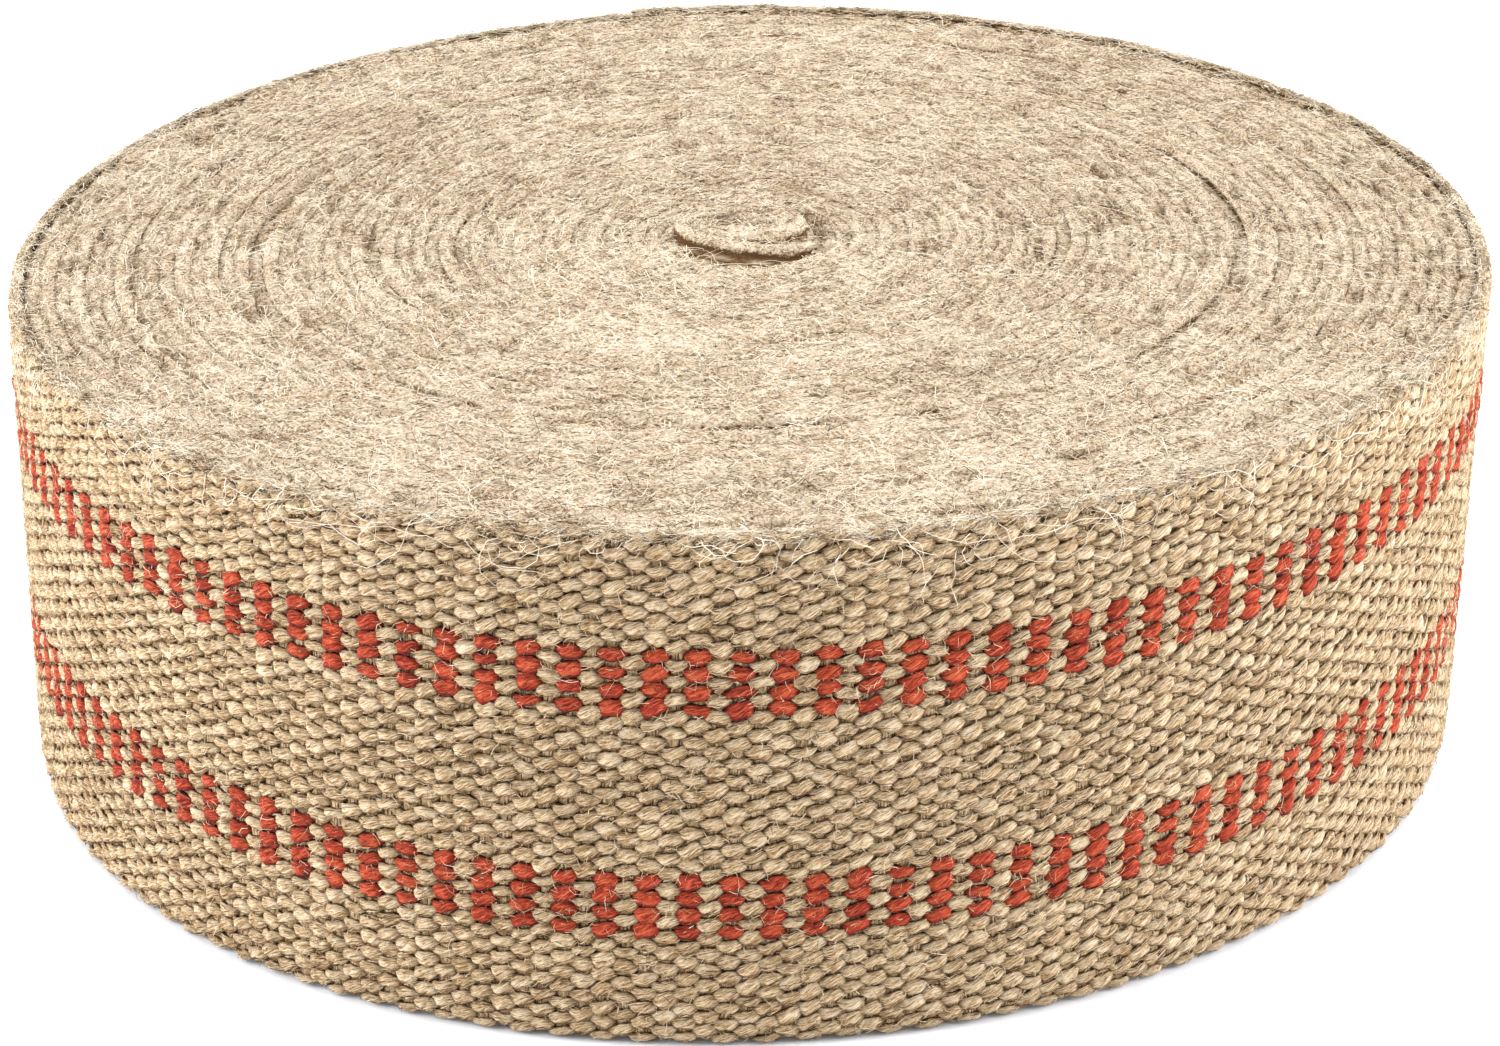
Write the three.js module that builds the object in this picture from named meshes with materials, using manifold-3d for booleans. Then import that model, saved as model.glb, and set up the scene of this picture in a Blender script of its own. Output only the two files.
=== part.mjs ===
// A coreless roll of jute upholstery webbing with two red stripes, standing on its edge face.
// Millimetres, +Z up. The roll is one woven strip wound on itself, so its sub-parts are the stretches
// of that strip that move on their own: the start curled up in the eye, rings of turns that slip past
// each other, the outer turn, and the free end, which peels off in short stretches. The red warp yarns
// of the outer turn are pieces of their own, each in its groove between the natural yarns.
import * as THREE from 'three';
import { mergeVertices } from 'three/addons/utils/BufferGeometryUtils.js';
import Module from 'manifold-3d';

// --- driving dimensions ---------------------------------------------------------------------------
const webbingWidth = 89; // a 3.5 inch strip, standing on edge
const webbingThickness = 2.34;
const fullDepth = [0, webbingThickness];
const fullHeight = [0, webbingWidth];
const gap = 0.3; // between neighbouring turns and between the ends of neighbouring stretches
const turnPitch = webbingThickness + gap;
const eyeRadius = 12.5; // inside the first full turn
const turnCount = 45; // full turns outside the eye
const startCurlTurns = 3.3; // turns of the start end, curled up inside the eye
const startCurlFlattening = 3.4; // the curl is pressed in by this much at its front and back
const startCurlBackward = 1.4; // and lies this far towards the back of the eye
const curlEntryTurns = 0.5; // and gets there within this much of a turn

// Rings of turns, as the turn at which each one ends. The last one doesn't slide.
const ringEnds = [2, 6, 11, 16, 21, 26, 32, 38, 44];

// The free end, at the back.
const tailStretches = 4;
const stepsPerTurn = 40;
const stepsPerTailStretch = 2;
const seamAngle = THREE.MathUtils.degToRad(100); // where every ring, and the free end, ends

// The roll isn't quite round: deepest at its back, and its inner turns sit nearer the front.
const ovalShare = 0.0105;
const ovalPeak = THREE.MathUtils.degToRad(90);
const lobeShare = 0.01;
const lobePeak = THREE.MathUtils.degToRad(95);
const innerTurnsForward = 5;

// Red warp yarns: four in each of two stripes, with natural yarns between them.
const yarnsPerStripe = 4;
const redYarnSpacing = 2.9;
const redYarnHeight = 1.7;
const redYarnDepth = 0.8;
const grooveDepth = redYarnDepth + gap;
const stripes = [
  { name: 'lower', centre: 0.2825 * webbingWidth },
  { name: 'upper', centre: 0.7175 * webbingWidth },
];

const natural = { color: 0xcdb68f, roughness: 0.95, metalness: 0 };
const red = { color: 0xb4452d, roughness: 0.9, metalness: 0 };

// --- the winding ----------------------------------------------------------------------------------
const outerRadius = eyeRadius + turnPitch * turnCount;

// The place in plan that is `depth` mm out from the strip's inner face, after `turn` turns.
function windingPoint(turn, depth) {
  const radius = eyeRadius + turnPitch * turn;
  const angle = seamAngle + 2 * Math.PI * turn;
  const share = radius / outerRadius;
  const oval = ovalShare * Math.cos(2 * (angle - ovalPeak));
  const lobes = lobeShare * Math.cos(3 * (angle - lobePeak));
  const reach = (radius + depth) * (1 + (oval + lobes) * share);
  const curled = THREE.MathUtils.smoothstep(-turn, 0, curlEntryTurns);
  const centreY = startCurlBackward * curled - innerTurnsForward * (1 - share);
  return new THREE.Vector2(
    reach * Math.cos(angle),
    (reach - startCurlFlattening * curled) * Math.sin(angle) + centreY,
  );
}

// Points along one face of the strip, every step of a turn, its two ends included.
function facePoints(from, to, depth) {
  const points = [windingPoint(from, depth)];
  const firstStep = Math.floor(from * stepsPerTurn + 0.5) + 1;
  for (let step = firstStep; step / stepsPerTurn < to - 0.25 / stepsPerTurn; step += 1) {
    points.push(windingPoint(step / stepsPerTurn, depth));
  }
  points.push(windingPoint(to, depth));
  return points;
}

// The turn that lies one gap before `turn`, along the strip.
function justBefore(turn) {
  return turn - gap / (2 * Math.PI * (eyeRadius + turnPitch * turn));
}

function extrudeUp(shape, height, bottom) {
  const geometry = new THREE.ExtrudeGeometry(shape, { depth: height, bevelEnabled: false, curveSegments: 1 });
  geometry.translate(0, 0, bottom);
  return geometry;
}

// A stretch of strip that doesn't meet itself, between two depths and two heights.
function stripStretch(from, to, depths, heights) {
  const [inner, outer] = depths;
  const outline = [...facePoints(from, to, inner), ...facePoints(from, to, outer).reverse()];
  return extrudeUp(new THREE.Shape(outline), heights[1] - heights[0], heights[0]);
}

// Whole turns as one ring: its outer face is its last turn's, and its hole is its first turn's.
function ringOfTurns(from, to) {
  const end = justBefore(to);
  const outline = [...facePoints(to - 1, end, webbingThickness), windingPoint(end - 1, webbingThickness)];
  const shape = new THREE.Shape(outline);
  shape.holes.push(new THREE.Path(facePoints(from, from + 1, 0)));
  return extrudeUp(shape, webbingWidth, 0);
}

// --- booleans -------------------------------------------------------------------------------------
const wasm = await Module();
wasm.setup();

function toSolid(geometry) {
  const bare = geometry.clone();
  bare.deleteAttribute('normal');
  bare.deleteAttribute('uv');
  const merged = mergeVertices(bare, 1e-5);
  return new wasm.Manifold(
    new wasm.Mesh({
      numProp: 3,
      vertProperties: new Float32Array(merged.attributes.position.array),
      triVerts: new Uint32Array(merged.index.array),
    }),
  );
}

function toGeometry(solid) {
  const mesh = solid.getMesh();
  const geometry = new THREE.BufferGeometry();
  geometry.setAttribute('position', new THREE.BufferAttribute(mesh.vertProperties, 3));
  geometry.setIndex(new THREE.BufferAttribute(mesh.triVerts, 1));
  geometry.computeVertexNormals();
  return geometry;
}

// --- the striped outer turn -----------------------------------------------------------------------
const redYarns = [];
for (const stripe of stripes) {
  for (let i = 0; i < yarnsPerStripe; i += 1) {
    redYarns.push({
      name: `${stripe.name}_red_yarn_${i + 1}`,
      centre: stripe.centre + (i - (yarnsPerStripe - 1) / 2) * redYarnSpacing,
    });
  }
}

// The natural part of a stretch: the full strip, less a groove for each red yarn.
function grooved(from, to) {
  let web = toSolid(stripStretch(from, to, fullDepth, fullHeight));
  const reach = redYarnHeight / 2 + gap;
  const overrun = 0.2 / stepsPerTurn;
  for (const yarn of redYarns) {
    const depths = [webbingThickness - grooveDepth, webbingThickness + 1];
    const heights = [yarn.centre - reach, yarn.centre + reach];
    web = web.subtract(toSolid(stripStretch(from - overrun, to + overrun, depths, heights)));
  }
  return toGeometry(web);
}

function redYarnStretch(from, to, yarn) {
  const depths = [webbingThickness - redYarnDepth, webbingThickness];
  const heights = [yarn.centre - redYarnHeight / 2, yarn.centre + redYarnHeight / 2];
  return stripStretch(from, to, depths, heights);
}

// --- the roll -------------------------------------------------------------------------------------
const roll = new THREE.Group();

function addPiece(name, geometry, look) {
  const mesh = new THREE.Mesh(geometry, new THREE.MeshStandardMaterial(look));
  mesh.name = name;
  roll.add(mesh);
}

addPiece('start_curl', stripStretch(-startCurlTurns, justBefore(0), fullDepth, fullHeight), natural);

ringEnds.forEach((end, i) => {
  addPiece(`turn_ring_${i + 1}`, ringOfTurns(ringEnds[i - 1] ?? 0, end), natural);
});

const tailStretchTurns = stepsPerTailStretch / stepsPerTurn;
const tailStart = turnCount - tailStretches * tailStretchTurns;
const stripedStretches = [{ prefix: '', web: 'outer_turn', from: turnCount - 1, to: justBefore(tailStart) }];
for (let i = 0; i < tailStretches; i += 1) {
  const from = tailStart + i * tailStretchTurns;
  const prefix = `free_end_${i + 1}_`;
  stripedStretches.push({ prefix, web: `${prefix}web`, from, to: justBefore(from + tailStretchTurns) });
}
for (const { prefix, web, from, to } of stripedStretches) {
  addPiece(web, grooved(from, to), natural);
  for (const yarn of redYarns) {
    addPiece(prefix + yarn.name, redYarnStretch(from, to, yarn), red);
  }
}

// The origin is under the middle of the roll's box.
const footprint = new THREE.Box2().setFromPoints(facePoints(turnCount - 1, turnCount, webbingThickness));
const middle = footprint.getCenter(new THREE.Vector2());
roll.position.set(-middle.x, -middle.y, 0);

export default roll;
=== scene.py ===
"""A coreless roll of jute webbing with two red stripes, lying on its edge face.

Everything is laid out along the strip: `along` is the length in mm from the start end in the eye, `depth` is
mm out from the strip's inner face, and `height` is mm above the floor. `on_strip` turns these into a place.
"""

import math

import bpy
import numpy as np
from mathutils import Matrix, Vector


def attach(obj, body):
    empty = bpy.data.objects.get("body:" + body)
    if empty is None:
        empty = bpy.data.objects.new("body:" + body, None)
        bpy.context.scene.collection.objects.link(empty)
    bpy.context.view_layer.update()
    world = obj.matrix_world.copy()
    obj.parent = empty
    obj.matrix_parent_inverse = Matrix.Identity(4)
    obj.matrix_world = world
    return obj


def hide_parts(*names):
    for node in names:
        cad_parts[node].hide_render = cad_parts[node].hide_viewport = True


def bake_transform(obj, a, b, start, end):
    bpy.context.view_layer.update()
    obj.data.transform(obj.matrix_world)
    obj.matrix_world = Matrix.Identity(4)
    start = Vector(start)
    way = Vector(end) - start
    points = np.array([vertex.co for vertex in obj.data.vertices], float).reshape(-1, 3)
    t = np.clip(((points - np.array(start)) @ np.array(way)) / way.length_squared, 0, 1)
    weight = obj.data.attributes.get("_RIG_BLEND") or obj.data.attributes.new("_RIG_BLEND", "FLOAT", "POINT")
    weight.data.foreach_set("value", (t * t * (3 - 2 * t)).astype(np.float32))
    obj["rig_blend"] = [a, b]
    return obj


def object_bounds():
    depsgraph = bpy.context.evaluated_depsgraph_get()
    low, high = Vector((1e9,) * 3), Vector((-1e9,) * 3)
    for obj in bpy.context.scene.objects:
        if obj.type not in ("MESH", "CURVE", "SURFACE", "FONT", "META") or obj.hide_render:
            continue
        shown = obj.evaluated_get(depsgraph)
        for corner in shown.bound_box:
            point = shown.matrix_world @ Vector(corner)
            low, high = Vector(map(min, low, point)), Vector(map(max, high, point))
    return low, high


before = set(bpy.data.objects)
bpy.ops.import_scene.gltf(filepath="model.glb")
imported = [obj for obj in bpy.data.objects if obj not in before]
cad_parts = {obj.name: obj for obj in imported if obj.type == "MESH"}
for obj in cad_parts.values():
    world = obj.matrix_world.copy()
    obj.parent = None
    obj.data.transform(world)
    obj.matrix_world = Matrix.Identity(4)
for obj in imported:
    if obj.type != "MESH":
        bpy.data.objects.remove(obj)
cad_low, cad_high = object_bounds()

# --- the winding, as the CAD model has it, in mm ---------------------------------------------------
MM = 0.001
WIDTH = (cad_high.z - cad_low.z) / MM
THICKNESS = 2.34
GAP = 0.3
PITCH = THICKNESS + GAP
EYE_RADIUS = 12.5
TURNS = 45
CURL_TURNS = 3.3
CURL_FLATTENING = 3.4
CURL_BACKWARD = 1.4
CURL_ENTRY_TURNS = 0.5
RING_ENDS = [2, 6, 11, 16, 21, 26, 32, 38, 44]
CAD_STEPS_PER_TURN = 40
SEAM = math.radians(100)
OVAL_SHARE, OVAL_PEAK = 0.0105, math.radians(90)
LOBE_SHARE, LOBE_PEAK = 0.01, math.radians(95)
INNER_FORWARD = 5
LEAN = 2.56  # the upper face lies this far to the right of the lower one
OUTER_RADIUS = EYE_RADIUS + PITCH * TURNS

# --- the free end: hinges at these turns, as the CAD model has them ---------------------------------
FREE_ENDS = 4
FREE_END_TURNS = 0.05  # from one hinge to the next
HINGE_TURNS = [TURNS - (FREE_ENDS - i) * FREE_END_TURNS for i in range(FREE_ENDS)]
COVERED_FROM = HINGE_TURNS[0] - 1  # the free end covers the turn below it from here

# --- the weave -------------------------------------------------------------------------------------
WARP_ENDS = 61
END_SPACING = WIDTH / WARP_ENDS
PICK_SPACING = 3.29
PICK_SLANT = 0.0087  # picks of lag for each mm up the strip
TWIST = 0.32  # radians that a yarn's fibres turn round it in a mm
LOWEST_RED_ENDS = {"lower": 14, "upper": 40}  # of each stripe
REDS_PER_STRIPE = 4  # with a natural end between neighbours
RED_ENDS = {
    lowest + 2 * i: f"{stripe}_red_yarn_{i + 1}"
    for stripe, lowest in LOWEST_RED_ENDS.items()
    for i in range(REDS_PER_STRIPE)
}
STATIONS_PER_PICK = 6
COVERED_STATIONS_PER_PICK = 4
YARN_SIDES = 8
MAX_PIECE_TRIANGLES = 190_000

# --- how many loose fibres of each sort there are on a mm of strip ----------------------------------
MAT_FIBRES_PER_MM = 7.6
LONG_HAIRS_PER_MM = 0.09
WALL_HAIRS_PER_MM = 22
YARN_FIBRES_PER_MM = 45
RIM_FIBRES_PER_MM = 26
RIM_FRONT_FIBRES_PER_MM = 6.5
FUZZ_PER_MM = 27
HANGING_HAIRS_PER_MM = 0.5

random = np.random.default_rng(20)


def smoothstep(x):
    x = np.clip(x, 0, 1)
    return x * x * (3 - 2 * x)


def scrambled(cell, seed):
    """A number from -1 to 1 for each whole number, the same for the same seed."""
    wave = np.sin(cell * 12.9898 + seed * 78.233) * 43758.5453
    return 2 * (wave - np.floor(wave)) - 1


def wander(x, wavelength, seed):
    """Smooth noise from -1 to 1 along x."""
    x = np.asarray(x, float) / wavelength
    cell = np.floor(x)
    share = smoothstep(x - cell)
    return scrambled(cell, seed) * (1 - share) + scrambled(cell + 1, seed) * share


def waves(along, terms):
    """The sum of some wanders, each given as its amount, wavelength and seed."""
    return sum(amount * wander(along, wavelength, seed) for amount, wavelength, seed in terms)


def winding(turn, depth):
    """Plan places, before they are centred."""
    turn = np.asarray(turn, float)
    radius = EYE_RADIUS + PITCH * turn
    angle = SEAM + 2 * np.pi * turn
    share = radius / OUTER_RADIUS
    oval = OVAL_SHARE * np.cos(2 * (angle - OVAL_PEAK))
    lobes = LOBE_SHARE * np.cos(3 * (angle - LOBE_PEAK))
    reach = (radius + depth) * (1 + (oval + lobes) * share)
    curled = smoothstep(-turn / CURL_ENTRY_TURNS)
    centre_y = CURL_BACKWARD * curled - INNER_FORWARD * (1 - share)
    x = reach * np.cos(angle)
    y = (reach - CURL_FLATTENING * curled) * np.sin(angle) + centre_y
    return np.stack([x, y], -1)


# The CAD roll is centred on the box of its last turn's corners.
last_steps = np.arange((TURNS - 1) * CAD_STEPS_PER_TURN, TURNS * CAD_STEPS_PER_TURN + 1)
last_turn = winding(last_steps / CAD_STEPS_PER_TURN, THICKNESS)
CENTRE = (last_turn.min(0) + last_turn.max(0)) / 2

# The winding, looked up by turn or by length: places of the inner face, and the way out from it.
TABLE_POINTS = 60001
table_turns = np.linspace(-CURL_TURNS, TURNS, TABLE_POINTS)
table_xy = winding(table_turns, 0) - CENTRE
mid_strip = winding(table_turns, THICKNESS / 2)
table_along = np.concatenate([[0], np.cumsum(np.linalg.norm(np.diff(mid_strip, axis=0), axis=1))])
tangents = np.gradient(table_xy, axis=0)
tangents /= np.linalg.norm(tangents, axis=1)[:, None]
table_out = np.stack([tangents[:, 1], -tangents[:, 0]], -1)


def along_at(turn):
    return float(np.interp(turn, table_turns, table_along))


def turn_at(along):
    return np.interp(along, table_along, table_turns)


FIRST_PICK = 2.05  # mm past the middle of the front
PICK_ORIGIN = along_at(TURNS - 0.5) + FIRST_PICK

# --- how the strip's upper edge lies ---------------------------------------------------------------
# Turns that lie lower than their neighbours: turn, spread in turns, and mm.
SUNK_TURNS = [
    (0.52, 0.2, 1.7),
    (1.52, 0.16, 0.8),
    (28.6, 0.55, 1.0),
    (25.4, 0.4, 0.6),
    (14.2, 0.4, 0.5),
    (36.5, 0.5, 0.5),
]
# Where the gap round a turn stands open: turn, spread in turns, and how much more than elsewhere.
OPEN_GAPS = [
    (28.3, 0.35, 0.5),
    (25.2, 0.3, 0.3),
    (36.4, 0.3, 0.3),
    (14.0, 0.3, 0.25),
    (20.4, 0.3, 0.2),
    (32.3, 0.3, 0.2),
]
# Unevenness as amount, wavelength in mm and seed.
LIFT_WAVES = [(0.3, 240, 1), (0.25, 47, 2), (0.15, 13, 3)]
LEAN_WAVES = [(0.1, 170, 5), (0.08, 31, 6)]
OPENNESS_WAVES = [(0.4, 26, 21), (0.35, 9, 22), (0.45, 3.7, 25)]
RAGGED_WAVES = [(0.5, 3.3, 23), (0.3, 1.4, 24)]
CURL_RAISED = 2.5
VALLEY_DEPTH = 1.8
HOLLOW_MIDDLE, HOLLOW_HALF_WIDTHS, HOLLOW_DEPTH = (-4.6, -2.2), (2.6, 1.7), 7.0
HOLLOW_UNTIL_TURN = -1.3
CREST = 88.5  # height of the upper edge where it's level
CROWN_DROP = 0.5  # from the middle of the edge to its sides
UNEVEN_FROM, UNEVEN_OVER = 55, 34  # the unevenness of the upper edge grows from this height, over this much


def in_plan(along, depth):
    """The x and the y of places on an upright strip."""
    places = []
    for xy, out in zip(table_xy.T, table_out.T, strict=True):
        places.append(np.interp(along, table_along, xy) + depth * np.interp(along, table_along, out))
    return places


def upper_edge_lift(along):
    turn = turn_at(along)
    lift = waves(along, LIFT_WAVES)
    for middle, spread, drop in SUNK_TURNS:
        lift = lift - drop * np.exp(-(((turn - middle) / spread) ** 2))
    return lift + CURL_RAISED * smoothstep((-0.35 - turn) / 0.3)


def upper_edge_lean(along):
    return waves(along, LEAN_WAVES)


def openness(along):
    """How far the gap between a turn and the one round it stands open at the top, from 0 to 1."""
    turn = turn_at(along)
    tendency = waves(along, OPENNESS_WAVES)
    for middle, spread, more in OPEN_GAPS:
        tendency = tendency + more * np.exp(-(((turn - middle) / spread) ** 2))
    return smoothstep((tendency - 0.3) / 0.35)


def sinking(along, depth):
    """How deep the upper edge dips towards the gaps beside a turn, and into the hollow of the core."""
    previous = np.interp(turn_at(along) - 1, table_turns, table_along)
    ragged = depth + waves(along, RAGGED_WAVES)
    own = openness(along) * smoothstep((ragged - 0.3) / 1.2)
    dip = VALLEY_DEPTH * np.maximum(own, 0.9 * openness(previous) * smoothstep((1.3 - ragged) / 1.1))
    x, y = in_plan(along, depth)
    (middle_x, middle_y), (half_x, half_y) = HOLLOW_MIDDLE, HOLLOW_HALF_WIDTHS
    away = ((x - middle_x) / half_x) ** 2 + ((y - middle_y) / half_y) ** 2
    return dip + HOLLOW_DEPTH * np.exp(-away) * (along < along_at(HOLLOW_UNTIL_TURN))


def upper_edge(along, depth):
    """Height of the upper edge of the cloth itself."""
    crown = CROWN_DROP * ((depth - THICKNESS / 2) / (THICKNESS / 2)) ** 2
    lumps = 0.3 * wander(along + 3 * depth, 2.6, 31) + 0.28 * wander(along - 2 * depth, 5.7, 32)
    return CREST - crown + lumps - sinking(along, depth)


def on_strip(along, depth, height):
    """Places in mm for lengths along the strip, depths from its inner face and heights."""
    along, depth, height = np.broadcast_arrays(along, depth, height)
    upper = smoothstep((height - UNEVEN_FROM) / UNEVEN_OVER)
    rounding = 0.7 * np.clip((height - 85.5) / 3.5, 0, 1.3) ** 2 + 0.6 * np.clip((3 - height) / 3, 0, 1) ** 2
    depth = depth + upper * upper_edge_lean(along) - rounding
    height = height + upper * upper_edge_lift(along)
    x, y = in_plan(along, depth)
    return np.stack([x + LEAN * (height / WIDTH - 0.5), y, height], -1)


# --- meshes ----------------------------------------------------------------------------------------
class Shape:
    """Points, faces and attributes of one mesh, gathered piece by piece."""

    def __init__(self):
        self.points, self.quads, self.triangles, self.attributes = [], [], [], {}
        self.count = 0

    def add(self, points, quads, triangles, **attributes):
        points = points.reshape(-1, 3)
        self.points.append(points)
        self.quads.append(quads + self.count)
        self.triangles.append(triangles + self.count)
        for name, values in attributes.items():
            for_each = np.broadcast_to(values, (len(points), *np.shape(values)[1:]))
            self.attributes.setdefault(name, []).append(for_each)
        self.count += len(points)

    def add_tube(self, rings, **attributes):
        """Rings of points, (stations, sides, 3), joined into a tube with closed ends."""
        stations, sides = rings.shape[:2]
        first = np.arange(stations - 1)[:, None] * sides
        side = np.arange(sides)[None]
        following = (side + 1) % sides
        corners = [first + side, first + sides + side, first + sides + following, first + following]
        fan = np.arange(1, sides - 1)
        start_cap = np.stack([np.zeros_like(fan), fan, fan + 1], -1)
        end_cap = start_cap[:, ::-1] + (stations - 1) * sides
        caps = np.concatenate([start_cap, end_cap])
        self.add(rings, np.stack(corners, -1).reshape(-1, 4), caps, **attributes)

    def make(self, name, material):
        mesh = bpy.data.meshes.new(name)
        points = np.concatenate(self.points) * MM
        quads, triangles = np.concatenate(self.quads), np.concatenate(self.triangles)
        corners = np.concatenate([quads.ravel(), triangles.ravel()])
        triangle_starts = len(quads) * 4 + np.arange(len(triangles)) * 3
        starts = np.concatenate([np.arange(len(quads)) * 4, triangle_starts])
        mesh.vertices.add(len(points))
        mesh.vertices.foreach_set("co", points.astype(np.float32).ravel())
        mesh.loops.add(len(corners))
        mesh.loops.foreach_set("vertex_index", corners.astype(np.int32))
        mesh.polygons.add(len(starts))
        mesh.polygons.foreach_set("loop_start", starts.astype(np.int32))
        for attribute, parts in self.attributes.items():
            values = np.concatenate(parts).astype(np.float32)
            kind = "FLOAT" if values.ndim == 1 else "FLOAT_VECTOR"
            made = mesh.attributes.new(attribute, kind, "POINT")
            made.data.foreach_set("value" if kind == "FLOAT" else "vector", values.ravel())
        mesh.update(calc_edges=True)
        mesh.shade_smooth()
        mesh.materials.append(material)
        piece = bpy.data.objects.new(name, mesh)
        bpy.context.scene.collection.objects.link(piece)
        return piece


# --- materials -------------------------------------------------------------------------------------
BUMP_DEPTH = 0.0006  # metres


class Nodes:
    """Short ways to add and link shader nodes."""

    MIX_SOCKETS = {"FLOAT": (2, 3, 0), "RGBA": (6, 7, 2)}  # of each kind: its two inputs and its output

    def __init__(self, name):
        self.material = bpy.data.materials.new(name)
        self.material.use_nodes = True
        self.tree = self.material.node_tree
        self.shader = self.tree.nodes["Principled BSDF"]

    def add(self, kind, inputs=None, **settings):
        node = self.tree.nodes.new(kind)
        for name, value in settings.items():
            setattr(node, name, value)
        for socket, value in (inputs or {}).items():
            self.feed(node.inputs[socket], value)
        return node

    def feed(self, socket, value):
        if isinstance(value, bpy.types.NodeSocket):
            self.tree.links.new(value, socket)
        else:
            socket.default_value = value

    def maths(self, operation, *values):
        return self.add("ShaderNodeMath", dict(enumerate(values)), operation=operation).outputs[0]

    def attribute(self, name):
        return self.add("ShaderNodeAttribute", attribute_name=name)

    def mix(self, kind, share, first, second):
        """`first` where the share is 0, and `second` where it is 1."""
        node = self.add("ShaderNodeMix", data_type=kind)
        first_socket, second_socket, output = self.MIX_SOCKETS[kind]
        for socket, value in zip((0, first_socket, second_socket), (share, first, second), strict=True):
            self.feed(node.inputs[socket], value)
        return node.outputs[output]

    def vector(self, x, y=0.0, z=0.0):
        return self.add("ShaderNodeCombineXYZ", {0: x, 1: y, 2: z}).outputs[0]

    def map_range(self, value, from_low, from_high, to_low=0.0, to_high=1.0):
        inputs = {0: value, 1: from_low, 2: from_high, 3: to_low, 4: to_high}
        return self.add("ShaderNodeMapRange", inputs).outputs[0]

    def surface(self, colour, height, roughness, specular):
        """Sets the colour and how the surface takes light; `height` makes bumps, if it's given."""
        self.feed(self.shader.inputs["Base Color"], colour)
        if height is not None:
            inputs = {"Height": height, "Strength": 1.0, "Distance": BUMP_DEPTH}
            self.feed(self.shader.inputs["Normal"], self.add("ShaderNodeBump", inputs).outputs[0])
        self.shader.inputs["Roughness"].default_value = roughness
        self.shader.inputs["Specular IOR Level"].default_value = specular
        return self.material

    def noise(self, vector, scale, detail=2.0, roughness=0.5):
        inputs = {"Vector": vector, "Scale": scale, "Detail": detail, "Roughness": roughness}
        return self.add("ShaderNodeTexNoise", inputs).outputs["Fac"]

    def ramp(self, share, colours):
        ramp = self.add("ShaderNodeValToRGB", {"Fac": share})
        elements = ramp.color_ramp.elements
        while len(elements) < len(colours):
            elements.new(0.5)
        for element, (place, colour) in zip(elements, colours, strict=True):
            element.position = place
            element.color = (*colour, 1)
        return ramp.outputs["Color"]


# Colour ramps, from the darkest shade to the lightest.
NATURAL = [
    (0.0, (0.07, 0.033, 0.012)),
    (0.3, (0.30, 0.172, 0.068)),
    (0.6, (0.565, 0.375, 0.19)),
    (1.0, (0.87, 0.715, 0.495)),
]
FELT = [
    (0.0, (0.10, 0.05, 0.02)),
    (0.3, (0.33, 0.218, 0.108)),
    (0.6, (0.58, 0.47, 0.34)),
    (1.0, (0.76, 0.66, 0.53)),
]
PALE = [
    (0.0, (0.08, 0.045, 0.02)),
    (0.22, (0.36, 0.24, 0.12)),
    (0.55, (0.68, 0.56, 0.395)),
    (1.0, (0.89, 0.80, 0.65)),
]
RED = [
    (0.0, (0.06, 0.005, 0.003)),
    (0.35, (0.22, 0.017, 0.006)),
    (0.7, (0.44, 0.046, 0.014)),
    (1.0, (0.66, 0.13, 0.052)),
]
WEFT = [
    (0.0, (0.08, 0.038, 0.015)),
    (0.3, (0.32, 0.205, 0.096)),
    (1.0, (0.74, 0.56, 0.35)),
]
FELT_FROM, FELT_TO = 84.5, 86.5  # between these heights the weave turns into felt


def yarn_material(name, colours):
    """Twisted yarn: fine streaks that run slantwise round it, a tone for each float, and painted shade on
    its flanks and where it dives.
    """
    n = Nodes(name)
    lay = n.add("ShaderNodeSeparateXYZ", {0: n.attribute("yarn").outputs["Vector"]})
    twist = n.maths("MULTIPLY_ADD", lay.outputs["X"], -TWIST, lay.outputs["Y"])
    drawn_out = n.maths("MULTIPLY", lay.outputs["X"], 0.13)
    streaks = n.noise(n.vector(twist, drawn_out, lay.outputs["Z"]), 4.5, 4.0, 0.75)
    blotches = n.noise(n.attribute("yarn").outputs["Vector"], 0.12, 2.0)
    tone = n.attribute("tone").outputs["Fac"]
    mixed = n.maths("MULTIPLY_ADD", streaks, 3.6, n.maths("MULTIPLY", blotches, 0.4))
    # Painted shade: darker on each float's flanks and where the yarn dives under a pick.
    buried = n.attribute("buried").outputs["Fac"]
    lit = n.maths("MULTIPLY_ADD", buried, -0.85, n.maths("SUBTRACT", mixed, 1.32))
    shade = n.maths("MULTIPLY_ADD", tone, 0.13, lit)
    return n.surface(n.ramp(shade, colours), streaks, 0.85, 0.25)


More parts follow.
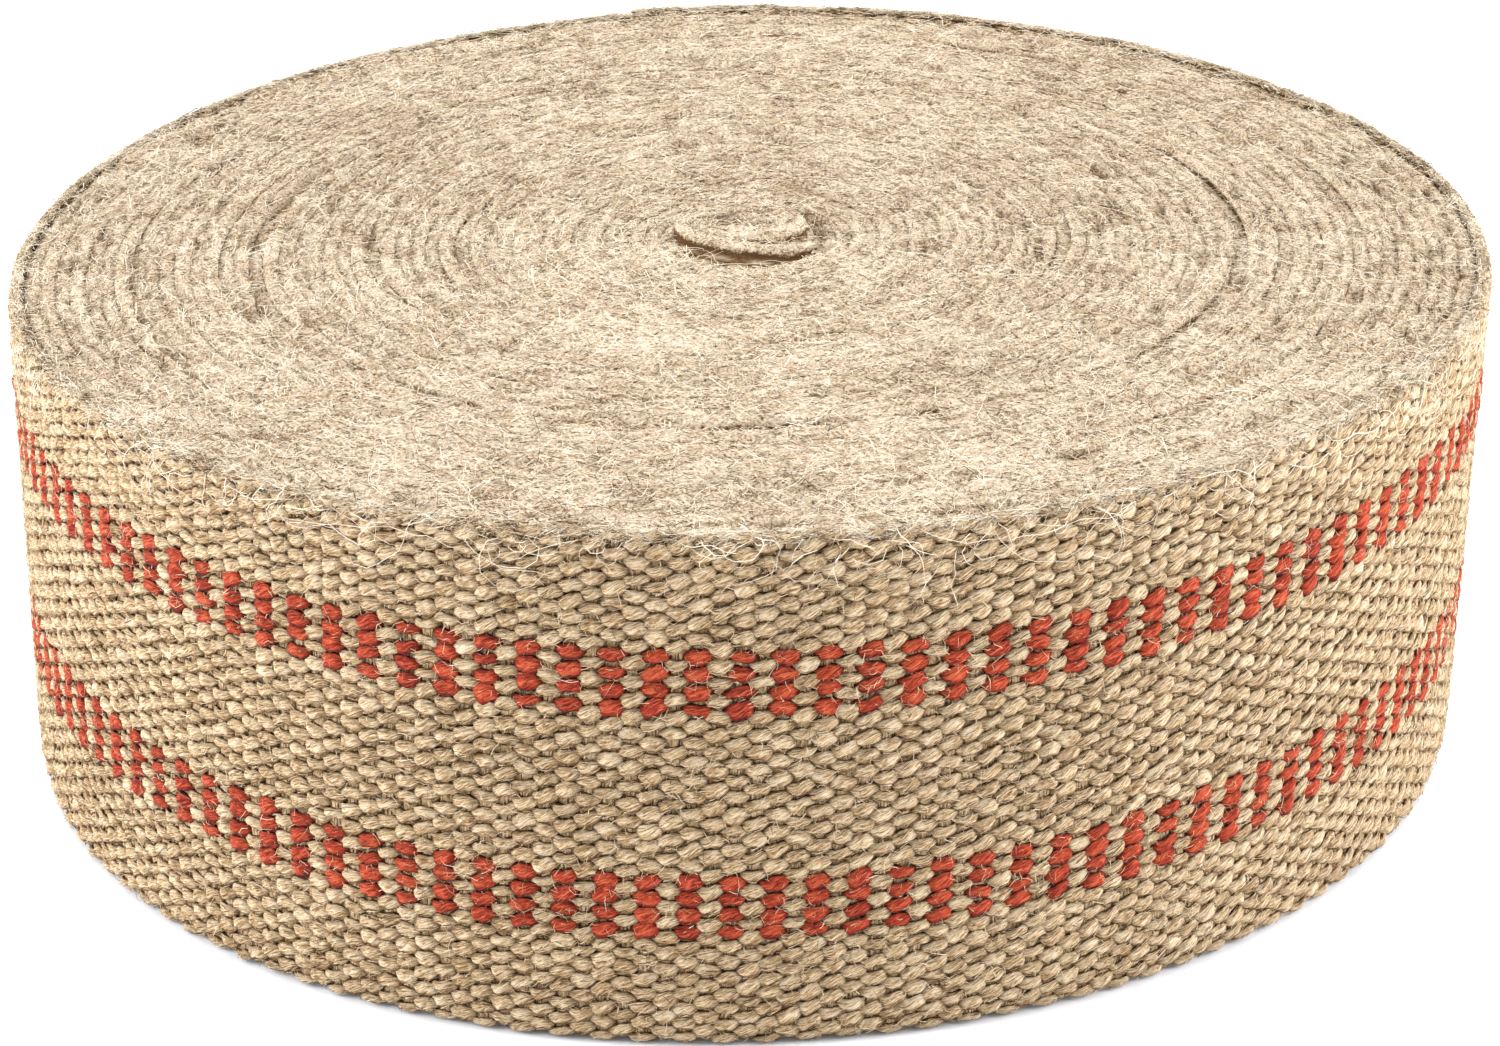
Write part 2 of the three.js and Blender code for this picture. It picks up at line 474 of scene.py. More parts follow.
def cloth_material(name, colours, red):
    """Closed cloth: rows of warp floats in the weave's pattern on its faces, and felt on its upper edge,
    both with painted shade.
    """
    n = Nodes(name)
    lay = n.add("ShaderNodeSeparateXYZ", {0: n.attribute("strip").outputs["Vector"]})
    along, height = lay.outputs["X"], lay.outputs["Y"]
    row_height = n.maths("DIVIDE", height, END_SPACING)
    row = n.maths("FLOOR", row_height)
    phase = n.maths("ADD", n.maths("DIVIDE", along, PICK_SPACING), row)
    over = n.maths("COSINE", n.maths("MULTIPLY", phase, math.pi))
    across = n.maths("SINE", n.maths("MULTIPLY", n.maths("FRACT", row_height), math.pi))
    relief = n.maths("MULTIPLY", n.maths("MULTIPLY_ADD", over, 0.5, 0.5), across)
    streaks = n.noise(n.vector(along, n.maths("MULTIPLY", height, 4.0)), 1.1, 3.0)
    # The colour follows the relief: painted shade between the floats and painted light on their tops.
    shade = n.maths("MULTIPLY_ADD", relief, 0.7, n.maths("MULTIPLY_ADD", streaks, 1.1, -0.2))
    is_red = 0.0
    for end in RED_ENDS:
        is_red = n.maths("ADD", is_red, n.maths("COMPARE", row, float(end), 0.5))
    is_red = n.maths("MULTIPLY", is_red, n.maths("GREATER_THAN", relief, 0.35))
    woven = n.mix("RGBA", is_red, n.ramp(shade, colours), n.ramp(shade, red))
    place = n.add("ShaderNodeTexCoord").outputs["Object"]
    hairs = n.noise(place, 1900.0, 3.0, 0.7)
    patches = n.noise(place, 70.0, 3.0, 0.6)
    # Painted shade: the felt darkens the further the cloth lies below its upper edge, as on the face of the
    # raised curl in the eye; -1.02 is the felt's base level.
    painted_recess_shade = n.map_range(n.attribute("below").outputs["Fac"], 0.2, 1.2, -1.02, -1.9)
    felt_shade = n.maths("MULTIPLY_ADD", hairs, 2.6, n.maths("MULTIPLY_ADD", patches, 0.6, painted_recess_shade))
    felted = n.map_range(height, FELT_FROM, FELT_TO)
    colour = n.mix("RGBA", felted, woven, n.ramp(felt_shade, FELT))
    bumps = n.mix("FLOAT", felted, n.maths("MULTIPLY_ADD", streaks, 0.3, relief), hairs)
    return n.surface(colour, bumps, 0.95, 0.15)


def weft_material(name, colours):
    """The weft between the warp floats: fine upright threads."""
    n = Nodes(name)
    lay = n.add("ShaderNodeSeparateXYZ", {0: n.attribute("strip").outputs["Vector"]})
    drawn_out = n.maths("MULTIPLY", lay.outputs["Y"], 0.15)
    threads = n.noise(n.vector(lay.outputs["X"], drawn_out), 3.2, 2.0, 0.6)
    return n.surface(n.ramp(n.maths("MULTIPLY_ADD", threads, 3.2, -1.1), colours), threads, 0.95, 0.15)


def fibre_material(name, colours):
    """Loose fibres: each one has a tone of its own, and they are darker in some patches than in others."""
    n = Nodes(name)
    place = n.add("ShaderNodeTexCoord").outputs["Object"]
    small_patches = n.maths("MULTIPLY_ADD", n.noise(place, 160.0, 2.0), 1.3, -0.5)
    patches = n.maths("MULTIPLY_ADD", n.noise(place, 22.0, 2.0), 0.9, small_patches)
    shade = n.maths("MULTIPLY_ADD", n.attribute("tone").outputs["Fac"], 0.31, patches)
    return n.surface(n.ramp(shade, colours), None, 0.75, 0.08)


natural_yarn = yarn_material("natural_jute_yarn", NATURAL)
red_yarn = yarn_material("red_jute_yarn", RED)
cloth = cloth_material("jute_cloth", NATURAL, RED)
weft = weft_material("jute_weft", WEFT)
pale_fibre = fibre_material("pale_jute_fibre", PALE)
wall_fibre = fibre_material("wall_jute_fibre", NATURAL)

# --- pieces of the strip ---------------------------------------------------------------------------
FACE_HEIGHTS = [1.5, 40, 76]
FACE_TOP = 84  # or lower, where the upper edge dips
CROWN_DEPTHS = [2.54, 2.2, 1.65, 1.15, 0.65, 0.1, -0.14]
FOOT_DEPTHS = [0.4, 1.9]
FOOT_HEIGHT = 0.3
STRIP_STEP = 1.5


def stations_between(start, end, step):
    return np.linspace(start, end, max(3, int(round((end - start) / step)) + 1))


def plain_strip(name, start, end):
    """A stretch of strip as closed cloth, with the dips of its upper edge."""
    along = stations_between(start, end, STRIP_STEP)[:, None]
    face = np.ones_like(along) * FACE_HEIGHTS
    foot = np.ones_like(along) * np.full(len(FOOT_DEPTHS), FOOT_HEIGHT)
    crown = np.array(CROWN_DEPTHS)
    outer_top, inner_top = (np.minimum(FACE_TOP, upper_edge(along, side) - 1) for side in (THICKNESS, 0))
    face_points = len(FACE_HEIGHTS) + 1
    depth = np.concatenate([np.full(face_points, THICKNESS), crown, np.zeros(face_points), FOOT_DEPTHS])
    height = np.concatenate([face, outer_top, upper_edge(along, crown), inner_top, face[:, ::-1], foot], 1)
    lay = np.stack(np.broadcast_arrays(along, height, depth), -1).reshape(-1, 3)
    # How far each point lies below the upper edge; the cloth material paints the felt darker by it, as
    # shade.
    below = np.clip(upper_edge(along, depth) - height, 0, 10).ravel()
    shape = Shape()
    shape.add_tube(on_strip(along, depth, height), strip=lay, below=below)
    return shape.make(name, cloth)


WEFT_RIDGE = 0.22
WEFT_INNER_POINTS = 6


def weft_layer(name, start, end):
    """The layer of weft between the warp floats of a woven stretch, with a ridge for each pick."""
    along = stations_between(start, end, PICK_SPACING / 4)[:, None]
    outer_height = end_height(np.arange(WARP_ENDS)) + END_SPACING / 2
    inner_height = np.linspace(WIDTH - 1.2, 1, WEFT_INNER_POINTS)
    height = np.concatenate([[FOOT_HEIGHT], outer_height[:-1], [WIDTH - 0.9], inner_height])
    side = np.concatenate([np.ones(WARP_ENDS + 1), np.zeros(WEFT_INNER_POINTS)])
    ridge = WEFT_RIDGE * np.cos(2 * np.pi * weft_phase(along, height))
    depth = 0.85 + 0.53 * side + ridge * (2 * side - 1)
    lay = np.stack(np.broadcast_arrays(along, height, depth), -1).reshape(-1, 3)
    shape = Shape()
    shape.add_tube(on_strip(along, depth, height + 0 * along), strip=lay)
    return shape.make(name, weft)


PICK_WAVES = [(0.06, 60, 43)]
ROW_WAVES = [(0.25, 90, 40), (0.12, 23, 41)]


def end_height(end):
    """Middle of a warp end. Between the stripes they are spaced a little wider, and above them closer."""
    end = np.asarray(end, float)
    raised = 1.2 * smoothstep((end - 18) / 22) * (1 - smoothstep((end - 46) / 14))
    return (end + 0.5) * END_SPACING + raised


def sag(along, height):
    """The rows aren't quite level: half way up the strip they hang lower at the front and back."""
    beside = np.hypot(np.cos(SEAM + 2 * np.pi * turn_at(along)), 0.1)
    return (-1.3 + 2.9 * beside + 3.1 * beside**2) * np.sin(np.pi * height / WIDTH)


def weft_phase(along, height):
    """How many picks into the outer turns a place is."""
    lag = PICK_SLANT * (height - WIDTH / 2)
    return (along - PICK_ORIGIN) / PICK_SPACING - lag + waves(along, PICK_WAVES)


# A warp end from under a pick (-1) to over one (1): its half height, and the depth of its middle.
FLOAT_OVER = [-1, -0.62, -0.3, 0, 0.35, 0.7, 1]
FLOAT_HALF_HEIGHT = [0.38, 0.46, 0.72, 0.94, 1.1, 1.19, 1.23]
FLOAT_DEPTH = [0.50, 1.04, 1.40, 1.60, 1.73, 1.81, 1.84]
ROUND_IN_DEPTH, ROUND_IN_HEIGHT = 0.65, 0.85  # below 1, a yarn's section is squarer than an ellipse
HIGHEST_YARN = 88.4
# Chance differences of each float: in half height, half depth, lift, height and tone.
FLOATS_WITH_CHANCE = 1024
float_chance = np.random.default_rng(7).normal(size=(WARP_ENDS, FLOATS_WITH_CHANCE, 5)).clip(-2, 2)
# Red ends are thicker than the natural ones between them, and the two outermost ends are thin.
end_scale = np.ones(WARP_ENDS)
end_lift = np.zeros(WARP_ENDS)
for red in RED_ENDS:
    end_scale[red], end_lift[red] = 1.14, 0.14
    if red + 2 in RED_ENDS:
        end_scale[red + 1] = 0.92
end_scale[[0, -1]] = 0.8


def squarish(x, power):
    """The sign of x with its size raised to a power."""
    return np.sign(x) * np.abs(x) ** power


def on_yarn(end, along, angle, off=0.0):
    """Places on the skin of a warp end, `off` mm out from it, with a tone and how far each is over a pick.

    The end bulges into a float over every other pick, and dives under the next.
    """
    middle = end_height(end)
    middle = middle + sag(along, middle) + waves(along, ROW_WAVES)
    pick = weft_phase(along, middle)
    over = np.cos(np.pi * (pick + end))
    low = np.floor(pick).astype(int)
    share = smoothstep(pick - low)[..., None]
    here, next_one = (float_chance[end, (low + i) % FLOATS_WITH_CHANCE] for i in (0, 1))
    chance = here * (1 - share) + next_one * share
    usual = np.interp(over, FLOAT_OVER, FLOAT_HALF_HEIGHT)
    half_height = usual * (1 + 0.15 * chance[..., 0]) * end_scale[end]
    half_depth = (0.48 + 0.08 * over) * (1 + 0.06 * chance[..., 1])
    lift = np.interp(over, FLOAT_OVER, FLOAT_DEPTH) + 0.11 * chance[..., 2] + end_lift[end]
    middle = middle + (0.1 + 0.2 * chance[..., 2]) * np.sin(np.pi * (pick + end))
    depth = lift + (half_depth + off) * squarish(np.cos(angle), ROUND_IN_DEPTH)
    height = middle + 0.17 * chance[..., 3] + (half_height + off) * squarish(np.sin(angle), ROUND_IN_HEIGHT)
    return on_strip(along, depth, np.clip(height, 0.05, HIGHEST_YARN)), chance[..., 4], over


COARSE_FIBRE_WAVES = [(0.23, 0.8, 60)]
FINE_FIBRE_WAVES = [(0.12, 0.55, 61)]


def warp_ends(name, ends, start, finish, material, stations_per_pick=STATIONS_PER_PICK):
    """Warp ends in as many pieces as keeps each one small enough."""
    per_end = (finish - start) / PICK_SPACING * stations_per_pick * YARN_SIDES * 2
    at_once = max(1, int(MAX_PIECE_TRIANGLES / per_end))
    groups = [ends[i : i + at_once] for i in range(0, len(ends), at_once)]
    along = stations_between(start, finish, PICK_SPACING / stations_per_pick)[:, None]
    angle = ((np.arange(YARN_SIDES) + 0.5) * 2 / YARN_SIDES - 1)[None] * np.pi
    pieces = []
    for i, group in enumerate(groups):
        shape = Shape()
        for end in group:
            rough = waves(along + 5.3 * angle + 31 * end, COARSE_FIBRE_WAVES)
            rough = rough + waves(along - 7.1 * angle + 17 * end, FINE_FIBRE_WAVES)
            rings, tone, over = on_yarn(np.full(along.shape, end), along, angle, rough)
            # Painted shade: the flanks of each float are darkened, the lower one from nearer its middle, and
            # so is the yarn where it dives under a pick.
            edges = np.maximum(smoothstep((-angle - 0.75) / 0.7), smoothstep((angle - 1.15) / 0.6))
            buried = np.maximum(edges, 0.8 * smoothstep((-0.3 - over) / 0.5))
            lay = np.stack(np.broadcast_arrays(along, angle, end * 7.31), -1).reshape(-1, 3)
            tone = 0.5 * np.broadcast_to(tone, rings.shape[:2]).ravel()
            shape.add_tube(rings, yarn=lay, tone=tone, buried=buried.ravel())
        pieces.append(shape.make(f"{name}_{i + 1}" if len(groups) > 1 else name, material))
    return pieces


# --- fibre paths, (fibres, points, 3) in mm, and a tone for each fibre -----------------------------
# `u` runs along a fibre: from -1 to 1 where it starts at its middle, or from 0 to 1 from its end.
LONG_SHARE, DARK_SHARE, BRIDGING_SHARE = 0.15, 0.22, 0.16  # of the matted fibres
LONG_FACTOR, DARK_FACTOR = 2.3, 0.6  # in length
DARK_TONE = -2.6
CURL_HALF_LENGTH = 1.5  # at the most, in the eye and on the turn round it
FACE_LOW, FACE_HIGH = 0.3, 88.6  # heights between which the hairs of the outer face lie


def column(low, high, count):
    return random.uniform(low, high, (count, 1))


def bell(spread, count):
    return random.normal(0, spread, (count, 1))


def mat_fibres(start, end, count):
    """Short fibres matted over the upper edge. Some are dark, and some bridge the dips it has."""
    u = np.linspace(-1, 1, 3)[None]
    along, depth = column(start, end, count), column(-0.3, THICKNESS + 0.4, count)
    longer, dark = random.random((count, 1)) < LONG_SHARE, random.random((count, 1)) < DARK_SHARE
    half = np.clip(random.lognormal(-0.12, 0.35, (count, 1)) * np.where(longer, LONG_FACTOR, 1), 0.4, 3.5)
    half = np.where(dark, DARK_FACTOR * half, half)
    turned = np.where(random.random((count, 1)) < 0.35, bell(0.35, count), bell(1.3, count))
    inner = along < along_at(1)
    turned = np.where(inner, 0.75 * turned, turned)
    half = np.where(inner, np.minimum(half, CURL_HALF_LENGTH), half)
    level = np.clip(depth, 0, THICKNESS)
    dip = sinking(along, level)
    sunk = dip * np.where(random.random((count, 1)) < BRIDGING_SHARE, 0.15, 1)
    base = upper_edge(along, level) + dip - sunk + 0.1 + np.abs(bell(0.2, count))
    ahead = half * u * np.cos(turned)
    across = half * u * np.sin(turned) + half * bell(0.16, count) * (1 - u * u)
    height = base + half * (np.abs(bell(0.14, count)) * (1 - u * u) + bell(0.32, count) * u)
    paths = on_strip(np.clip(along + ahead, start - 2, end + 2), depth + across, height)
    # Fibres sunk into a dip are darker by how far they sank: painted shade.
    return paths, (np.where(dark, DARK_TONE, bell(1, count)) - 1.1 * sunk)[:, 0]


def rim_fibres(start, end, count, round_it):
    """Short fibres that hide the outermost edge, between two places round it.

    `round_it` is 0 on top of the edge, and 1 on the outer face just below it.
    """
    u = np.linspace(-1, 1, 3)[None]
    along, turned = column(start, end, count), bell(0.8, count)
    half = np.clip(random.lognormal(0.15, 0.45, (count, 1)), 0.5, 3.5)
    place = column(*round_it, count) + half * u * np.sin(turned) / 4 + 0.14 * bell(1, count)
    bend = np.clip(place, -0.5, 1.6) * np.pi / 2
    off = 0.22 + np.abs(bell(0.22, count)) * (1 - u * u) + bell(0.2, count) * u
    depth = THICKNESS - 1.2 + (1.15 + off) * np.sin(bend)
    height = 86.9 + (1.4 + off) * np.cos(bend) - np.clip(place - 1, 0, 1) * 3
    along = np.clip(along + half * u * np.cos(turned), start, end)
    return on_strip(along, depth, height), bell(1, count)[:, 0]


def rim_top(start, end, count):
    return rim_fibres(start, end, count, (-0.2, 0.45))


def rim_front(start, end, count):
    return rim_fibres(start, end, count, (0.3, 0.75))


def hair_walk(count, points, lengths, curl):
    """Curly walks in a plane: how far each point of each hair is from its start, along and across."""
    length = np.clip(random.lognormal(math.log(lengths[0]), 0.4, (count, 1)), 1, lengths[1])
    step = length / (points - 1)
    turns = random.normal(0, curl, (count, points - 1)) + bell(curl, count)
    heading = column(0, 2 * np.pi, count) + np.cumsum(turns, 1)
    ahead = np.concatenate([np.zeros((count, 1)), np.cumsum(step * np.cos(heading), 1)], 1)
    across = np.concatenate([np.zeros((count, 1)), np.cumsum(step * np.sin(heading), 1)], 1)
    return ahead, across


def wall_hairs(start, end, count):
    """Curly hairs over the outer face, most of them close to it and some standing off."""
    ahead, across = hair_walk(count, 4, (2.1, 8), 0.5)
    u = np.linspace(0, 1, 4)[None]
    height = np.clip(column(0.5, 89, count) + across, FACE_LOW, FACE_HIGH)
    off = 0.05 + np.abs(bell(0.3, count)) * np.sin(np.pi * u) + np.abs(bell(0.35, count)) * u**2
    along = np.clip(column(start, end, count) + ahead, start, end)
    return on_strip(along, THICKNESS - 0.2 + off, height), 1.4 * bell(1, count)[:, 0] + 0.8


def wall_fuzz(start, end, count):
    """Short hairs that stand off the outer face."""
    u = np.linspace(0, 1, 3)[None]
    length = np.clip(random.lognormal(0.2, 0.35, (count, 1)), 0.5, 2.5)
    turned, stand = column(0, 2 * np.pi, count), np.abs(bell(0.45, count)) + 0.1
    along = np.clip(column(start, end, count) + length * u * np.cos(turned), start, end)
    height = np.clip(column(0.5, 88.5, count) + length * u * np.sin(turned), FACE_LOW, FACE_HIGH)
    return on_strip(along, THICKNESS - 0.1 + stand * length * u, height), bell(1, count)[:, 0] + 0.5


def yarn_fibres(start, end, count):
    """Fibres of the yarns themselves that stand a little proud of the floats, and follow their twist."""
    u = np.linspace(-1, 1, 3)[None]
    ends = random.integers(0, WARP_ENDS, (count, 1))
    picks = np.round((column(start, end, count) - PICK_ORIGIN) / PICK_SPACING / 2) * 2 - ends % 2
    along = PICK_ORIGIN + picks * PICK_SPACING + bell(0.6, count)
    ahead = u * column(0.7, 1.9, count)
    angle = column(-1.3, 1.3, count) + TWIST * ahead + bell(0.3, count) * u
    off = 0.04 + np.abs(bell(0.1, count)) * (1 - u * u) + np.abs(bell(0.16, count)) * u**2
    is_red = np.isin(ends, list(RED_ENDS))
    keep = ((along > start + 2) & (along < end - 2) & ~is_red)[:, 0]
    paths, _, _ = on_yarn(ends[keep], (along + ahead)[keep], angle[keep], off[keep])
    return paths, 1.7 * bell(1, len(paths))[:, 0]


def top_hairs(start, end, count):
    """Long curly hairs lying over the upper edges, turned back where they would reach past the rim."""
    ahead, across = hair_walk(count, 9, (11, 26), 0.33)
    u = np.linspace(0, 1, 9)[None]
    off = 0.3 + np.abs(bell(0.5, count)) * np.sin(np.pi * u) + np.abs(bell(0.5, count)) * u**3
    along = np.clip(column(start, end, count) + ahead, start - 4, end + 4)
    depth = THICKNESS / 2 + across
    rim = np.floor(TURNS - turn_at(along)) * PITCH + THICKNESS + 1
    depth = np.where(depth > rim, 2 * rim - depth, depth)
    return on_strip(along, depth, CREST + off), np.abs(bell(1, count))[:, 0] + 1


def hanging_hairs(start, end, count):
    """Long curly hairs that start at the rim and hang over the outer face."""
    ahead, across = hair_walk(count, 9, (12, 26), 0.4)
    u = np.linspace(0, 1, 9)[None]
    height = np.clip(FACE_HIGH - np.abs(across) * 0.8 - column(0, 3, count), 2, 89.3)
    off = 0.35 + np.abs(bell(0.6, count)) * np.sin(np.pi * u) + np.abs(bell(0.9, count)) * u**2
    along = np.clip(column(start, end, count) + ahead, start, end)
    return on_strip(along, THICKNESS - 0.3 + off, height), np.abs(bell(1, count))[:, 0] + 2


def add_fibres(shape, paths, radius, tone):
    """Three-sided fibres, tapered to a point, with their ends closed."""
    fibres, points = paths.shape[:2]
    ahead = np.gradient(paths, axis=1)
    ahead /= np.linalg.norm(ahead, axis=2, keepdims=True) + 1e-9
    aside = np.cross(ahead, [0.31, 0.22, 0.92])
    aside /= np.linalg.norm(aside, axis=2, keepdims=True) + 1e-9
    below = np.cross(aside, ahead)
    angle = np.arange(3) * 2 * np.pi / 3
    taper = np.linspace(1, 0.6, points - 1)[None, :, None, None] * np.reshape(radius, (-1, 1, 1, 1))
    ring = aside[:, :-1, None] * np.cos(angle)[:, None] + below[:, :-1, None] * np.sin(angle)[:, None]
    body = (paths[:, :-1, None] + ring * taper).reshape(fibres, -1, 3)
    together = np.concatenate([body, paths[:, -1:]], 1)
    per_fibre = together.shape[1]
    first = np.arange(points - 2)[:, None] * 3
    side, following = np.arange(3)[None], (np.arange(3)[None] + 1) % 3
    corners = [first + side, first + 3 + side, first + 3 + following, first + following]
    quads = np.stack(corners, -1).reshape(-1, 4)
    last = (points - 2) * 3
    caps = [[0, 1, 2]] + [[last + i, per_fibre - 1, last + (i + 1) % 3] for i in range(3)]
    offsets = np.arange(fibres)[:, None, None] * per_fibre
    all_quads = (quads[None] + offsets).reshape(-1, 4)
    all_caps = (np.array(caps)[None] + offsets).reshape(-1, 3)
    shape.add(together, all_quads, all_caps, tone=np.repeat(tone, per_fibre))


def fibre_pieces(name, paths_of, start, end, per_mm, radii, material):
    """Fibres of one sort, in pieces that are small enough."""
    paths, tone = paths_of(start, end, max(3, int((end - start) * per_mm)))
    per_fibre = 6 * (paths.shape[1] - 2) + 4
    batches = math.ceil(len(paths) * per_fibre / MAX_PIECE_TRIANGLES)
    radius = random.uniform(*radii, len(paths))
    pieces = []
    for i in range(batches):
        shape = Shape()
        add_fibres(shape, paths[i::batches], radius[i::batches], tone[i::batches])
        pieces.append(shape.make(f"{name}_{i + 1}" if batches > 1 else name, material))
    return pieces


# --- assembling the stretches ----------------------------------------------------------------------
def ride_all(pieces, bodies, ends):
    """Every piece rides on its body, or bends between two."""
    for piece in pieces:
        if len(bodies) == 1:
            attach(piece, bodies[0])
        else:
            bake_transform(piece, *bodies, start=ends[0], end=ends[1])


def joint_ends(start, end):
    """Where a bending stretch starts and ends, in metres."""
    places = on_strip(np.array([start, end]), THICKNESS, WIDTH / 2) * MM
    return [tuple(p) for p in places]


# Sorts of fibre: name, paths, how many on a mm of strip, smallest and largest radius, and material.
TOP_FIBRES = [
    ("mat", mat_fibres, MAT_FIBRES_PER_MM, (0.04, 0.085), pale_fibre),
    ("long_hairs", top_hairs, LONG_HAIRS_PER_MM, (0.035, 0.055), pale_fibre),
]
OUTER_FIBRES = [
    ("rim_top", rim_top, RIM_FIBRES_PER_MM, (0.035, 0.07), pale_fibre),
    ("rim_front", rim_front, RIM_FRONT_FIBRES_PER_MM, (0.035, 0.07), pale_fibre),
    ("fuzz", wall_fuzz, FUZZ_PER_MM, (0.02, 0.04), wall_fibre),
    ("wall_hairs", wall_hairs, WALL_HAIRS_PER_MM, (0.04, 0.07), wall_fibre),
    ("yarn_fibres", yarn_fibres, YARN_FIBRES_PER_MM, (0.04, 0.08), wall_fibre),
    ("hanging_hairs", hanging_hairs, HANGING_HAIRS_PER_MM, (0.055, 0.09), pale_fibre),
]


def all_fibres(name, sorts, start, end):
    pieces = []
    for sort, paths_of, per_mm, radii, material in sorts:
        pieces += fibre_pieces(f"{name}_{sort}", paths_of, start, end, per_mm, radii, material)
    return pieces


def hidden_stretch(name, from_turn, to_turn, bodies, replaced=()):
    """A stretch of which mostly the upper edge shows: closed cloth with matted fibres on that edge."""
    start, end = along_at(from_turn), along_at(to_turn)
    strip = plain_strip(f"{name}_strip", start, end)
    fibres = all_fibres(name, TOP_FIBRES, start, end)
    ride_all([strip, *fibres], bodies, joint_ends(start, end))
    if replaced:
        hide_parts(*replaced)


def woven_stretch(name, from_turn, to_turn, bodies, web=None, prefix="", bent_by=None):
    """A stretch whose whole face shows, yarn by yarn. `web` is the CAD node that its weft stands for.

    If it bends between two bodies, it has done so by the turn `bent_by`. A stretch without a CAD node of its
    own lies under the free end, so it's simpler.
    """
    start, end = along_at(from_turn), along_at(to_turn)
    stations = STATIONS_PER_PICK if web else COVERED_STATIONS_PER_PICK
    layer = weft_layer(f"{name}_weft", start, end)
    natural_ends = [i for i in range(WARP_ENDS) if i not in RED_ENDS]
    natural = warp_ends(f"{name}_warp", natural_ends, start, end, natural_yarn, stations)
    reds = []
    for i, cad_name in RED_ENDS.items():
        reds += warp_ends(f"{name}_warp_{cad_name}", [i], start, end, red_yarn, stations)
        if web:
            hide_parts(prefix + cad_name)
    fibres = all_fibres(name, TOP_FIBRES, start, end)
    if web:
        fibres += all_fibres(name, OUTER_FIBRES, start, end)
        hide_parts(web)
    pieces = [layer, *natural, *reds, *fibres]
    ride_all(pieces, bodies, joint_ends(start, along_at(bent_by or to_turn)))


LINK_TURNS = 0.5  # the last half turn of each ring climbs to the next one
hidden_stretch("start_curl", -CURL_TURNS, -LINK_TURNS, ["start"], ["start_curl"])
hidden_stretch("start_curl_link", -LINK_TURNS, 0, ["start", "ring_1"])
ring_bodies = [f"ring_{i + 1}" for i in range(len(RING_ENDS) - 1)] + ["pack"]
for i, body in enumerate(ring_bodies):
    first = RING_ENDS[i - 1] if i else 0
    name, cad_names = f"ring_{i + 1}", [f"turn_ring_{i + 1}"]
    if body == "pack":
        hidden_stretch(name, first, COVERED_FROM, [body], cad_names)
    else:
        links_from = RING_ENDS[i] - LINK_TURNS
        hidden_stretch(name, first, links_from, [body], cad_names)
        hidden_stretch(f"{name}_link", links_from, RING_ENDS[i], [body, ring_bodies[i + 1]])

half = FREE_END_TURNS / 2
woven_stretch("covered_turn", COVERED_FROM, TURNS - 1, ["pack"])
woven_stretch("outer_turn", TURNS - 1, HINGE_TURNS[0] - half, ["pack"], "outer_turn")
tail_bodies = ["pack"] + [f"free_end_{i + 1}" for i in range(FREE_ENDS)]
for i, hinge in enumerate(HINGE_TURNS):
    name, bodies = f"free_end_{i + 1}", tail_bodies[i : i + 2]
    ends_at = TURNS if i == FREE_ENDS - 1 else hinge + half
    woven_stretch(name, hinge - half, ends_at, bodies, f"{name}_web", f"{name}_", bent_by=hinge + half)

# --- floor, light and camera -----------------------------------------------------------------------
FLOOR_REACH = 3
FLOOR_DROP = 0.0006  # clears the yarns' lowest points
FLOOR_GREY = 0.93


def make_floor():
    mesh = bpy.data.meshes.new("floor")
    corners = [(x * FLOOR_REACH, y * FLOOR_REACH, 0) for x, y in ((-1, -1), (1, -1), (1, 1), (-1, 1))]
    mesh.from_pydata(corners, [], [(0, 1, 2, 3)])
    floor = bpy.data.objects.new("floor", mesh)
    bpy.context.scene.collection.objects.link(floor)
    floor.location.z = -FLOOR_DROP
    n = Nodes("floor")
    n.shader.inputs["Base Color"].default_value = (FLOOR_GREY, FLOOR_GREY, FLOOR_GREY, 1)
    n.shader.inputs["Roughness"].default_value = 0.9
    mesh.materials.append(n.material)


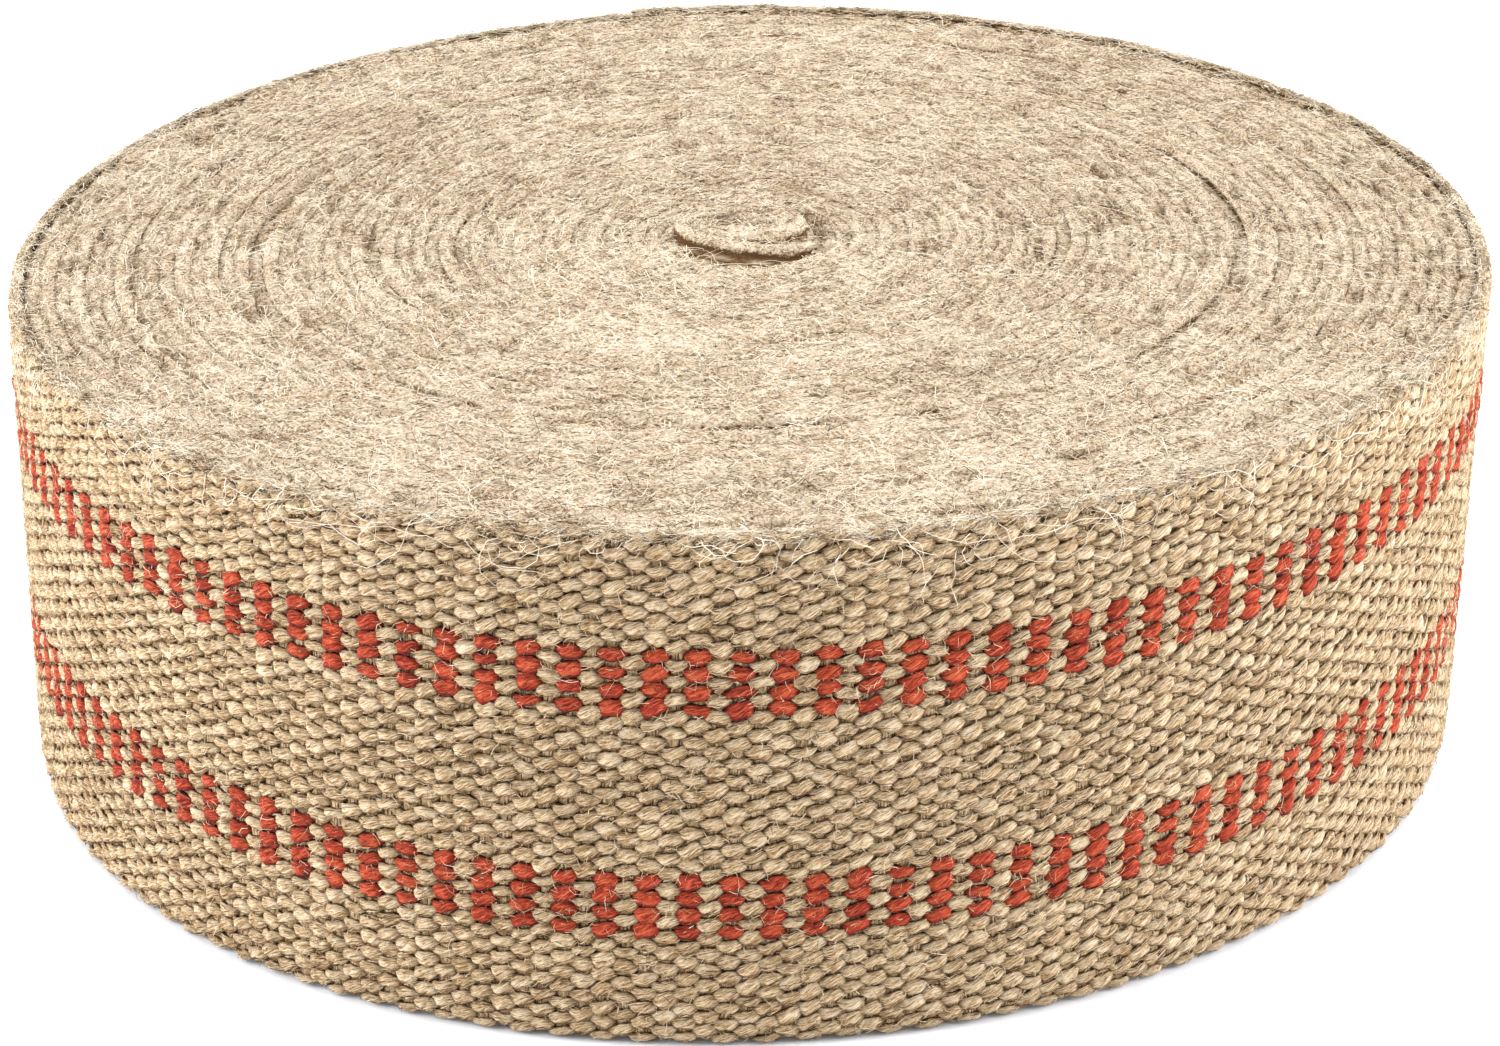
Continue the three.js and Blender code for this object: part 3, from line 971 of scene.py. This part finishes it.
def area_light(name, place, aim, size, power, colour=(1, 1, 1)):
    data = bpy.data.lights.new(name, "AREA")
    data.shape = "RECTANGLE"
    data.size, data.size_y = size
    data.energy = power
    data.color = colour
    light = bpy.data.objects.new(name, data)
    light.location = place
    light.rotation_euler = (Vector(aim) - Vector(place)).to_track_quat("-Z", "Y").to_euler()
    bpy.context.scene.collection.objects.link(light)


def make_world(brightness):
    world = bpy.data.worlds.new("studio")
    world.use_nodes = True
    world.node_tree.nodes["Background"].inputs["Color"].default_value = (1, 1, 1, 1)
    world.node_tree.nodes["Background"].inputs["Strength"].default_value = brightness
    bpy.context.scene.world = world


def make_camera():
    """Looks down at the roll from the front, and is tilted by a degree. Lengths in mm, angles in radians."""
    distance, aside, rise, pitch, tilt = 688.8, 1.42, 0.414, 0.4338, -0.0177
    middle = Vector((-CENTRE[0], -CENTRE[1], WIDTH / 2))
    place = middle + Vector((aside, -distance * math.cos(rise), distance * math.sin(rise)))
    forward = Vector((0, math.cos(pitch), -math.sin(pitch)))
    level_up = Vector((0, math.sin(pitch), math.cos(pitch)))
    level_right = Vector((1, 0, 0))
    right = math.cos(tilt) * level_right + math.sin(tilt) * level_up
    up = math.cos(tilt) * level_up - math.sin(tilt) * level_right
    data = bpy.data.cameras.new("camera")
    data.lens = 89.15
    data.sensor_width = 36
    data.clip_start, data.clip_end = 0.05, 20
    camera = bpy.data.objects.new("camera", data)
    turned = Matrix((right, up, -forward)).transposed().to_4x4()
    camera.matrix_world = Matrix.Translation(place * MM) @ turned
    bpy.context.scene.collection.objects.link(camera)
    bpy.context.scene.camera = camera


SIDE_POWER, SIDE_COLOUR, SIDE_SIZE = 21.3, (0.97, 1, 1.07), (0.7, 0.9)
make_floor()
make_world(0.6)
for name, side in (("left_softbox", -1), ("right_softbox", 1)):
    area_light(name, (1.1 * side, -0.2, 0.5), (0.1 * side, 0, 0.05), SIDE_SIZE, SIDE_POWER, SIDE_COLOUR)
area_light("overhead", (0, 0.3, 1.3), (0, 0, 0.08), (1.2, 1.0), 17.8)
make_camera()
bpy.context.scene.view_settings.view_transform = "Standard"
